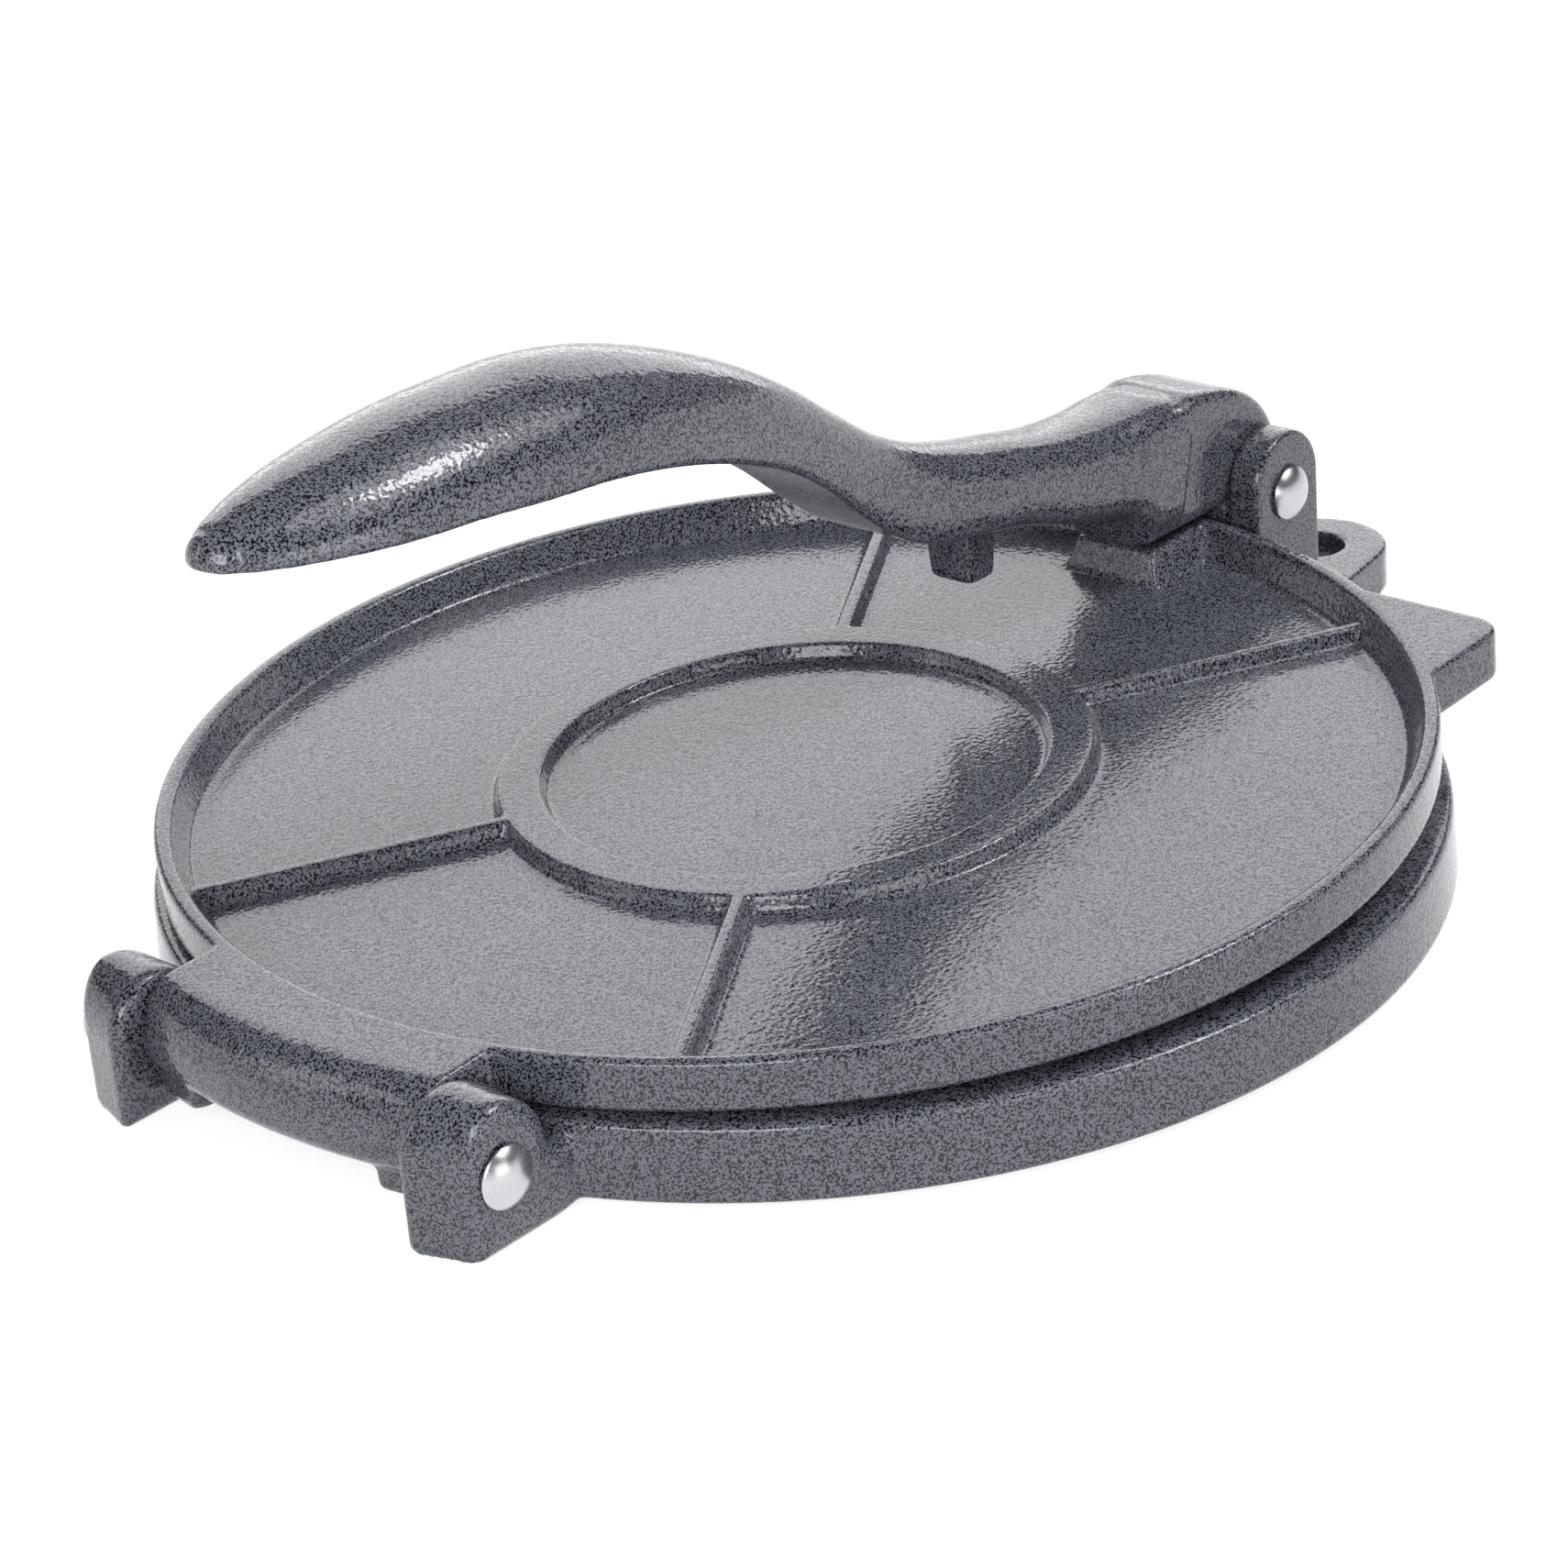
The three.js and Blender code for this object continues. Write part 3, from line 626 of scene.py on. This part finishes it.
def finish_of(scene, name):
    """The material of that name, made when it is first asked for."""
    makers = {"hammertone_coat": hammertone, "nickel_plate": nickel_plate}
    return bpy.data.materials.get(name) or makers[name](name, scene.press_finish)


class PRESS_OT_base(Operator):
    """Base casting: round disc with hinge ears, fulcrum fork and hanging loop"""

    bl_idname = "press.base"
    bl_label = "Base"

    def ear(self, layout, hinge, base):
        """An ear from the side: round top, foot on the table and an arm in under the disc."""
        x, z = layout.hinge_x, layout.hinge.z + hinge.ear_rise
        radius = hinge.pin + hinge.ear_wall
        rear, arm = x + radius, hinge.ear_arm - layout.base_radius
        step = layout.top - hinge.ear_step
        sweep = hinge.ear_toe
        toe = bend((rear - sweep / 4, 0), (rear + sweep / 2, 0), (rear + sweep, base.air))
        shoulder = bend((rear + hinge.ear_shoulder, step), (rear, step), (rear, z))
        dome = arc(x, z, radius, 0, 180)
        return [(x - radius, 0), *toe, (arm, base.air), (arm, step), *shoulder, *dome[1:]]

    def bowed(self, mesh, layout, hinge):
        """The ear with its front drawn back, further out from the middle, to the plate's circle."""
        radius = hinge.pin + hinge.ear_wall
        start = math.sqrt(hinge.ear_bow**2 - layout.ear_in**2)
        for v in mesh.vertices:
            ahead = min(max((layout.hinge_x - v.co.x) / radius, 0), 1)
            v.co.x += ahead * (start - math.sqrt(hinge.ear_bow**2 - v.co.y**2))
        return mesh

    def lug(self, layout, base, fulcrum, pin):
        """The lug under the fork, which narrows to the hanging loop."""
        half = layout.tine_out + base.lug_lip
        x = layout.fulcrum_x
        rear = x + pin + fulcrum.tine_wall
        loop = x + base.loop_reach
        radius = base.loop_hole + base.loop_wall
        front = layout.base_radius - base.lug_root
        along = loop - rear
        lean = math.degrees(math.atan2(half, along) - math.asin(radius / math.hypot(half, along)))
        return [
            (front, -half),
            (rear, -half),
            *arc(loop, 0, radius, lean - 90, 90 - lean, 64),
            (rear, half),
            (front, half),
        ]

    def execute(self, context):
        scene = context.scene
        layout = Layout(scene)
        plate, base = scene.press_plate, scene.press_base
        hinge, fulcrum = scene.press_hinge, scene.press_fulcrum
        x, z = layout.fulcrum_x, layout.fulcrum.z
        radius, top = layout.base_radius, layout.top
        wall = radius + base.draft
        ceiling = top - base.web
        inner = radius - base.rim
        disc = turned(
            [
                (0, top),
                (radius - base.edge, top),
                *arc(radius - base.edge, top - base.edge, base.edge, 90, 0, 6)[1:],
                (wall, base.air + plate.edge),
                (wall - plate.edge, base.air),
                (inner, base.air),
                (inner - base.rim_draft, ceiling),
                (0, ceiling),
            ]
        )
        clear = hinge.knuckle_radius + hinge.knuckle_air
        barrel = bar(layout.hinge_x, layout.hinge.z, clear, -layout.ear_in, layout.ear_in)
        parts = [cut(disc, barrel)]
        parts += stiffeners(plate, ceiling + MM, ceiling - base.stiff_tall, inner)
        half = hinge.pin + fulcrum.tine_wall
        tine = [(x - half, base.lug_thick / 2), (x + half, base.lug_thick / 2)]
        tine += arc(x, z + fulcrum.tine_rise, half, 0, 180)
        for side in (1, -1):
            near, far = sorted((side * layout.ear_in, side * layout.ear_out))
            ear = slab(self.ear(layout, hinge, base), near, far, hinge.ear_edge)
            parts.append(self.bowed(ear, layout, hinge))
            near, far = sorted((side * layout.tine_in, side * layout.tine_out))
            parts.append(slab(tine, near, far, fulcrum.tine_edge))
        hole = circle(x + base.loop_reach, 0, base.loop_hole)
        lug = pushed(self.lug(layout, base, fulcrum, hinge.pin), 0, base.lug_thick)
        parts.append(cut(lug, pushed(hole, -MM, base.lug_thick + MM)))
        mesh = cast(parts, grain=0.6 * MM, passes=5)
        wide = layout.ear_out * 2
        seat = hinge.pin + hinge.seat
        bores = [
            bar(layout.hinge_x, layout.hinge.z, seat, -wide, wide),
            bar(x, z, seat, -wide, wide),
        ]
        mesh = cut(mesh, *bores, solver="MANIFOLD")
        mesh.transform(Matrix.Translation((layout.middle, 0, 0)))
        coat = finish_of(scene, "hammertone_coat")
        piece("base_casting", mesh, "base", coat, "base")
        return {"FINISHED"}


class PRESS_OT_top_plate(Operator):
    """Top plate casting: rim, stiffening ring and ribs, boss, bridge and lifting tab"""

    bl_idname = "press.top_plate"
    bl_label = "Top plate"

    def tab(self, plate):
        """The lifting tab's outline, a square with one round corner."""
        reach = plate.radius + plate.tab_reach - plate.tab_round
        x, y = reach * math.cos(plate.tab_angle), reach * math.sin(plate.tab_angle)
        right, low = x + plate.tab_round, y - plate.tab_round
        return [
            (right - plate.tab_side, low + plate.tab_side),
            (right - plate.tab_side, low),
            *arc(x, y, plate.tab_round, -90, 0),
            (right, low + plate.tab_side),
        ]

    def bridge(self, layout, plate, hinge, side):
        """The bridge to the hinge: flat on top, with a rolled front that bows about the plate."""
        root, front = hinge.bridge_root - plate.radius, -hinge.bridge_front
        nose, brow, chin = hinge.bridge_nose, hinge.bridge_brow, hinge.bridge_chin
        low = layout.hinge.z - hinge.bridge_low
        rear = layout.hinge_x + hinge.pin + hinge.barrel_wall
        under, top = layout.plate_under, layout.plate_top
        quarter = arc(0, 0, 1, 90, 180, 16)
        # Behind the barrel the underside rises at one in two.
        outline = [
            (rear, low),
            (rear + 2 * (under - low), under),
            (root, under),
            (root, top),
            *((front + nose + nose * c, top - brow + brow * s) for c, s in quarter),
            *arc(front + chin, low + chin, chin, 180, 270, 8),
        ]
        rings = []
        steps = 24
        for i in range(steps + 1):
            y = side * (2 * i / steps - 1)
            bow = hinge.bridge_front - math.sqrt(hinge.bridge_front**2 - y * y)
            rings.append([(x + bow, y, z) for x, z in outline])
        return stacked(rings)

    def knuckle(self, layout, hinge, near, far):
        """A round knuckle under an end of the bridge, kept behind the bridge's bowed front."""
        x, z, edge = layout.hinge_x, layout.hinge.z, hinge.knuckle_edge
        mesh = bar(x, z, hinge.knuckle_radius, near, far, edge)
        front = hinge.bridge_front - hinge.knuckle_back
        for v in mesh.vertices:
            v.co.x = max(v.co.x, -math.sqrt(front**2 - v.co.y**2))
        return mesh

    def boss(self, plate, foot, top):
        """The boss that the lever's block presses on, which runs out into the rim."""
        front, rear = plate.radius - plate.boss_long, plate.radius - 2 * MM
        half, spread = plate.boss_width / 2, plate.boss_draft
        return block((front - spread, rear, half + spread, foot), (front, rear, half, top))

    def execute(self, context):
        scene = context.scene
        layout = Layout(scene)
        plate, hinge = scene.press_plate, scene.press_hinge
        floor = layout.plate_under + plate.web
        lip = plate.radius - plate.rim
        foot = lip - plate.rim_draft
        top, under = layout.plate_top, layout.plate_under
        disc = turned(
            [
                (0, floor),
                (foot, floor),
                (lip, top),
                (plate.radius - plate.edge, top),
                *arc(plate.radius - plate.edge, top - plate.edge, plate.edge, 90, 0, 6)[1:],
                (plate.radius, under + plate.edge),
                (plate.radius - plate.edge, under),
                (0, under),
            ]
        )
        recess = turned([(0, floor), (foot, floor), (lip, top), (lip, top + MM), (0, top + MM)])
        side = layout.ear_in - hinge.bridge_air
        bridge = self.bridge(layout, plate, hinge, side)
        tab = pushed(self.tab(plate), under, top, plate.edge)
        parts = [disc, cut(bridge, recess), cut(tab, recess)]
        for near, far in ((-side, hinge.knuckle - side), (side - hinge.knuckle, side)):
            parts.append(self.knuckle(layout, hinge, near, far))
        parts += stiffeners(plate, floor - MM, floor + plate.stiff_tall, lip + MM)
        parts.append(self.boss(plate, floor - MM, top))
        mesh = cast(parts, grain=0.6 * MM, passes=6)
        x, z = layout.hinge_x, layout.hinge.z
        bore = bar(x, z, hinge.pin + hinge.play, -2 * side, 2 * side)
        mesh = cut(mesh, bore, solver="MANIFOLD")
        swing = Matrix.Translation((layout.hinge.x, 0, z)) @ Matrix.Rotation(-plate.open, 4, "Y")
        mesh.transform(swing @ Matrix.Translation((-x, 0, -z)))
        coat = finish_of(scene, "hammertone_coat")
        piece("top_plate_casting", mesh, "plate", coat, "top_plate")
        return {"FINISHED"}


class PRESS_OT_lever(Operator):
    """Lever casting: domed handle, neck, block, pressing foot and hub"""

    bl_idname = "press.lever"
    bl_label = "Lever"

    def station(self, t):
        """The values at a share t of the way through the table, on a smooth curve through its
        rows that allows for their uneven spacing."""
        last = len(LEVER_STATIONS) - 1
        i = min(int(t * last), last - 1)
        u = t * last - i
        row = [LEVER_STATIONS[max(0, min(last, i + k))] for k in (-1, 0, 1, 2)]
        spans = [max(a[0] - b[0], 1e-6) for a, b in zip(row, row[1:])]
        values = []
        for before, start, end, after in zip(*row):
            pairs = ((before, start), (start, end), (end, after))
            slopes = [(b - a) / span for (a, b), span in zip(pairs, spans)]
            if i == 0:
                slopes[0] = slopes[1]
            if i == last - 1:
                slopes[2] = slopes[1]
            enter = (slopes[0] * spans[1] + slopes[1] * spans[0]) / (spans[0] + spans[1])
            leave = (slopes[1] * spans[2] + slopes[2] * spans[1]) / (spans[1] + spans[2])
            a, b = 2 * u**3 - 3 * u**2 + 1, u**3 - 2 * u**2 + u
            c, d = 3 * u**2 - 2 * u**3, u**3 - u**2
            values.append(a * start + b * enter * spans[1] + c * end + d * leave * spans[1])
        return values

    def section(self, layout, lever, values, facets=48):
        """A flat sole with broken corners under a rounded crown."""
        reach, rise, deep, wide, squareness, share, soft = values
        x = layout.fulcrum_x - reach * lever.reach
        low = lever.sole + rise * lever.rise
        depth, half = deep * lever.depth, wide * lever.width / 2
        # The corners leave a third of the sole flat, and most of the depth to the crown.
        corner = min(soft * lever.corner, half * 0.63, depth / 3)
        points = []
        for i in range(facets + 1):
            a = math.pi * i / facets
            across = math.copysign(abs(math.cos(a)) ** (2 / squareness), math.cos(a))
            up = max(math.sin(a), 0) ** (2 / squareness)
            points.append((across * half, low + corner + up * (depth - corner)))
        points += arc(corner - half, low + corner, corner, 180, 270, 5)[1:]
        points += arc(half - corner, low + corner, corner, 270, 360, 5)[:-1]
        tilt = share * math.tan(lever.lean)
        return [(x + (z - low - depth / 2) * tilt, y, z) for y, z in points]

    def foot(self, layout, lever):
        """The pressing foot, a rounded block that spreads up into the neck."""
        x, sole = layout.fulcrum_x - lever.foot_reach, lever.sole + lever.foot_rise
        edge = lever.foot_edge
        # A rectangle with round corners, as an ellipse of the fifth power.
        outline = [
            [math.copysign(abs(w) ** (2 / 5), w) for w in point]
            for point in circle(0, 0, 1, 64)
        ]
        rings = []
        for z, spread in ((0, -edge), (edge, 0), (lever.foot_tall, lever.foot_spread)):
            long, wide = lever.foot_long / 2 + spread, lever.foot_width / 2 + spread
            rings.append([(x + u * long, v * wide, sole + z) for u, v in outline])
        return stacked(rings)

    def hub(self, layout, lever, fulcrum, pin):
        """The hub from the side: round about the pin, with a hump up to the block."""
        sole = lever.sole + fulcrum.hub_step
        x, z = layout.fulcrum_x, layout.fulcrum.z
        front, tall = fulcrum.hub_front, fulcrum.hub_tall
        radius = pin + fulcrum.hub_wall
        # The round part runs from the sole round the pin to 45 degrees up behind it.
        meets = math.degrees(math.asin((z - sole) / radius))
        rounded = arc(x, z, radius, 180 + meets, 360 + 45, 64)
        # The hump rises from there to its top, drawn towards a point high behind the pin. From
        # the brow the hub's front leans forward, down into the block.
        pull = (x + 0.158 * front, z + 0.89 * tall)
        hump = (x - 0.52 * front, z + tall)
        brow = (x - 0.68 * front, z + tall - MM)
        return [(x - front, sole), *rounded, *bend(rounded[-1], pull, hump)[1:], brow]

    def execute(self, context):
        scene = context.scene
        layout = Layout(scene)
        lever, fulcrum, pin = scene.press_lever, scene.press_fulcrum, scene.press_hinge.pin
        # Twelve rings from each station to the next.
        steps = 12 * (len(LEVER_STATIONS) - 1)
        stations = [self.station(i / steps) for i in range(steps + 1)]
        arm = stacked([self.section(layout, lever, values) for values in stations])
        half = fulcrum.hub_width / 2
        hub = slab(self.hub(layout, lever, fulcrum, pin), -half, half, fulcrum.hub_edge)
        mesh = cast([arm, self.foot(layout, lever), hub], grain=0.5 * MM, passes=5)
        x, z = layout.fulcrum_x, layout.fulcrum.z
        bore = bar(x, z, pin + scene.press_hinge.play, -2 * half, 2 * half)
        mesh = cut(mesh, bore, solver="MANIFOLD")
        mesh.transform(Matrix.Translation((layout.middle, 0, 0)))
        coat = finish_of(scene, "hammertone_coat")
        piece("lever_casting", mesh, "lever", coat, "lever")
        return {"FINISHED"}


class PRESS_OT_pins(Operator):
    """Both pins with their domed caps"""

    bl_idname = "press.pins"
    bl_label = "Pins and caps"

    def execute(self, context):
        scene = context.scene
        layout = Layout(scene)
        cap, hinge = scene.press_cap, scene.press_hinge
        material = finish_of(scene, "nickel_plate")
        radius, bore = hinge.pin + cap.flange, hinge.pin + hinge.seat
        tall = cap.tall - cap.lip
        sphere = (radius**2 + tall**2) / (2 * tall)
        steps = 24
        dome = [
            (r, cap.tall - sphere + math.sqrt(sphere**2 - r * r))
            for r in (radius * (1 - i / steps) for i in range(steps))
        ]
        outline = [(bore, 0), (radius - cap.edge, 0), (radius, cap.edge), *dome]
        outline += [(0, cap.tall), (0, cap.socket), (bore, cap.socket)]
        for name, axis, out in (
            ("hinge", layout.hinge, layout.ear_out),
            ("lever", layout.fulcrum, layout.tine_out),
        ):
            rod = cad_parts[f"{name}_pin"]
            rod.data.materials.clear()
            rod.data.materials.append(material)
            for end, side in (("left", 1), ("right", -1)):
                mesh = turned(outline, steps=96)
                mesh.transform(
                    Matrix.Translation((axis.x, side * (out + cap.air), axis.z))
                    @ Matrix.Rotation(-side * math.pi / 2, 4, "X")
                )
                node = f"{name}_cap_{end}"
                piece(f"{node}_dome", mesh, "base", material, node)
        return {"FINISHED"}


class PRESS_OT_studio(Operator):
    """Pale floor, soft lights and the camera"""

    bl_idname = "press.studio"
    bl_label = "Studio"

    def lamp(self, name, radiance, place, aim, wide, tall):
        """A soft square lamp of a given radiance, aimed at a point."""
        data = bpy.data.lights.new(name, "AREA")
        data.shape = "RECTANGLE"
        data.size, data.size_y = wide, tall
        # The power at which a lamp of this size has that radiance.
        data.energy = radiance * math.pi * wide * tall
        lamp = bpy.data.objects.new(name, data)
        lamp.location = place
        lamp.rotation_mode = "QUATERNION"
        lamp.rotation_quaternion = (Vector(aim) - Vector(place)).to_track_quat("-Z", "Y")
        lamp.visible_camera = False
        bpy.context.scene.collection.objects.link(lamp)

    def seen(self, tree, level):
        """The level where a board is seen or mirrored, and nothing for the light it casts."""
        path = add_node(tree, "ShaderNodeLightPath")
        total = path.outputs["Is Camera Ray"]
        for ray in ("Is Glossy Ray", "Is Transmission Ray"):
            total = add_node(
                tree, "ShaderNodeMath", {0: total, 1: path.outputs[ray]}, operation="MAXIMUM"
            ).outputs[0]
        return add_node(
            tree, "ShaderNodeMapRange", {"Value": total, "To Max": level}
        ).outputs["Result"]

    def board(self, name, mesh, colour, glow):
        """A matt board of the set, which glows white only where it is seen or mirrored."""
        obj = bpy.data.objects.new(name, mesh)
        bpy.context.scene.collection.objects.link(obj)
        material = bpy.data.materials.new(f"{name}_board")
        material.use_nodes = True
        tree = material.node_tree
        tree.nodes.clear()
        matt = add_node(tree, "ShaderNodeBsdfDiffuse", {"Color": (*colour, 1)})
        strength = self.seen(tree, glow)
        light = add_node(
            tree, "ShaderNodeEmission", {"Color": (1, 1, 1, 1), "Strength": strength}
        )
        both = add_node(
            tree, "ShaderNodeAddShader", {0: matt.outputs["BSDF"], 1: light.outputs["Emission"]}
        )
        add_node(tree, "ShaderNodeOutputMaterial", {"Surface": both.outputs["Shader"]})
        obj.data.materials.append(material)

    def floor(self, studio):
        """A plain floor under the press, which stands on it, and a round backdrop behind."""
        outline = circle(0, 0, studio.wall_reach)
        bm = bmesh.new()
        bm.faces.new([bm.verts.new((x, y, 0)) for x, y in outline])
        self.board("floor", finished(bm, "floor"), studio.floor, studio.glow)
        bm = bmesh.new()
        low, high = (
            [bm.verts.new((x, y, z)) for x, y in outline] for z in (0, studio.wall_tall)
        )
        for a, b, c, d in zip(low, low[1:] + low[:1], high[1:] + high[:1], high):
            bm.faces.new((a, b, c, d))
        self.board("backdrop", finished(bm, "backdrop"), studio.floor, studio.wall)

    def sky(self, studio):
        """A low, plain level of white light from all round."""
        world = bpy.data.worlds.new("white_room")
        world.use_nodes = True
        tree = world.node_tree
        tree.nodes.clear()
        room = add_node(
            tree, "ShaderNodeBackground", {"Color": (1, 1, 1, 1), "Strength": studio.sky}
        )
        add_node(tree, "ShaderNodeOutputWorld", {"Surface": room.outputs["Background"]})
        bpy.context.scene.world = world

    def camera(self, studio):
        """The camera at the photograph's angle, in front of the handle and the hinge."""
        place, aim = Vector(CAMERA_PLACE) * MM, Vector(CAMERA_AIM) * MM
        ahead = (aim - place).normalized()
        right = ahead.cross(Vector((0, 0, 1))).normalized()
        up = right.cross(ahead)
        c, s = math.cos(studio.roll), math.sin(studio.roll)
        right, up = c * right + s * up, c * up - s * right
        data = bpy.data.cameras.new("camera")
        data.lens, data.sensor_width = studio.focal, 36
        data.shift_x, data.shift_y = CAMERA_SHIFT
        data.clip_start, data.clip_end = 0.05, 50
        obj = bpy.data.objects.new("camera", data)
        obj.matrix_world = Matrix((right, up, -ahead)).transposed().to_4x4()
        obj.location = place
        bpy.context.scene.collection.objects.link(obj)
        bpy.context.scene.camera = obj

    def execute(self, context):
        studio = context.scene.press_studio
        context.scene.view_settings.view_transform = "Standard"
        self.floor(studio)
        self.sky(studio)
        for name, (place, aim, wide, tall) in LAMPS.items():
            self.lamp(f"{name}_light", getattr(studio, name), place, aim, wide, tall)
        self.camera(studio)
        return {"FINISHED"}


class PRESS_PT_pieces(Panel):
    """The press's pieces and its studio"""

    bl_idname = "PRESS_PT_pieces"
    bl_label = "Tortilla press"
    bl_space_type = "VIEW_3D"
    bl_region_type = "UI"
    bl_category = "Tortilla press"

    def draw(self, context):
        for operator in OPERATORS:
            self.layout.operator(operator.bl_idname)
        for name in GROUPS:
            group = getattr(context.scene, name)
            box = self.layout.box()
            for prop in group.bl_rna.properties:
                if prop.identifier in type(group).__annotations__:
                    box.prop(group, prop.identifier)


GROUPS = {
    "press_plate": PlateSizes,
    "press_base": BaseSizes,
    "press_hinge": HingeSizes,
    "press_fulcrum": FulcrumSizes,
    "press_lever": LeverSizes,
    "press_cap": CapSizes,
    "press_finish": CastFinish,
    "press_studio": StudioSettings,
}
OPERATORS = (PRESS_OT_base, PRESS_OT_top_plate, PRESS_OT_lever, PRESS_OT_pins, PRESS_OT_studio)


def register():
    for name, group in GROUPS.items():
        bpy.utils.register_class(group)
        setattr(bpy.types.Scene, name, PointerProperty(type=group))
    for cls in (*OPERATORS, PRESS_PT_pieces):
        bpy.utils.register_class(cls)


def unregister():
    for cls in (PRESS_PT_pieces, *reversed(OPERATORS)):
        bpy.utils.unregister_class(cls)
    for name, group in reversed(GROUPS.items()):
        delattr(bpy.types.Scene, name)
        bpy.utils.unregister_class(group)


def main():
    """Builds the press and its studio."""
    register()
    bpy.ops.press.base()
    bpy.ops.press.top_plate()
    bpy.ops.press.lever()
    bpy.ops.press.pins()
    bpy.ops.press.studio()


if __name__ == "__main__":
    main()
